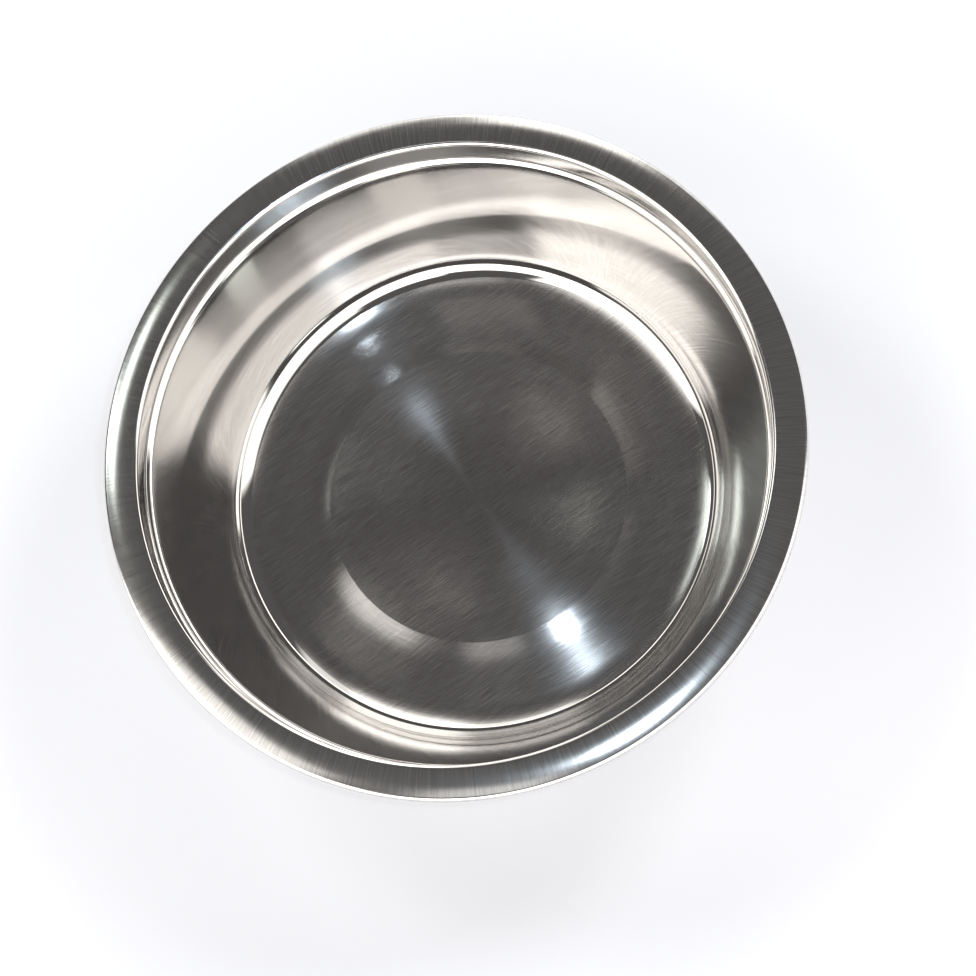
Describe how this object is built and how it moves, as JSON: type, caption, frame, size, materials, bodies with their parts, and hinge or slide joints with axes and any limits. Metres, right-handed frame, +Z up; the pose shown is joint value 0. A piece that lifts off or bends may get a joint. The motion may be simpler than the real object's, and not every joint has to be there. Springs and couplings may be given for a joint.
{
  "type": "pet bowl",
  "caption": "Round steel pet bowl with a sloping wall, raised and dished floor disc, stepped collar and rolled flange, standing on a bonded rubber foot ring; holds food or water.",
  "frame": {"origin": "on the ground, at the middle of the foot ring", "axes": "+Z up along the bowl's axis, out of its mouth; X and Y lie on the ground"},
  "size_m": [0.22, 0.22, 0.0635],
  "materials": {
    "stainless_sheet": "mirror polished wall and collar, turned floor crossed by straight rub marks, satin flange with fine radial grain",
    "foot_rubber": "matt moulded rubber with a grooved tread"
  },
  "bodies": {
    "root": {"bowl_shell": "stainless_sheet", "foot_ring": "foot_rubber"}
  },
  "joints": []
}
